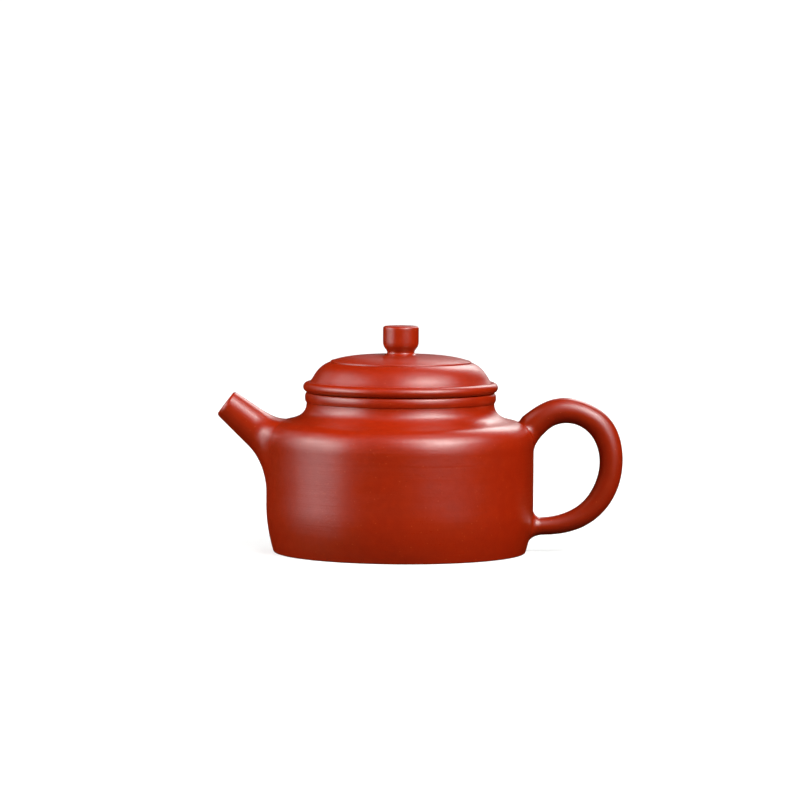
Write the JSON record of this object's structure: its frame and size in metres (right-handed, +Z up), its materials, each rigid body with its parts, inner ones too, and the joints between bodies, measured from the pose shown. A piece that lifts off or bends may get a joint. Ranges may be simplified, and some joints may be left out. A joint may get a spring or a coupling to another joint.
{
  "type": "teapot",
  "caption": "Low round-shouldered clay teapot with a tapered spout, an ear-shaped handle, a beaded mouth and a lift-off domed lid with a cylindrical knob.",
  "frame": {"origin": "centre of the foot, on the plane the pot stands on", "axes": "+Z up; +X towards the handle, -X towards the spout; mirror-symmetric about the XZ plane"},
  "size_m": [0.1257, 0.0828, 0.0702],
  "materials": {
    "clay": "unglazed brick-red clay, burnished to a soft satin",
    "clay_inside": "unglazed brick-red clay, left matt"
  },
  "bodies": {
    "pot": {"base_plate": "clay", "body_wall": "clay", "shoulder_plate": "clay", "neck_ring": "clay", "mouth_rim": "clay", "spout": "clay", "strainer": "clay_inside", "handle": "clay"},
    "lid_ring": {"lid_flange": "clay_inside"},
    "lid": {"lid_rim": "clay", "lid_dome": "clay", "lid_disc": "clay", "knob": "clay"}
  },
  "joints": [
    {"name": "lid_lift", "type": "slide", "parent": "pot", "child": "lid_ring", "axis": [0, 0, 1], "range_m": [0, 0.06]},
    {"name": "lid_turn", "type": "hinge", "parent": "lid_ring", "child": "lid", "pos_m": [0, 0, 0.0496], "axis": [0, 0, 1], "continuous": true}
  ]
}
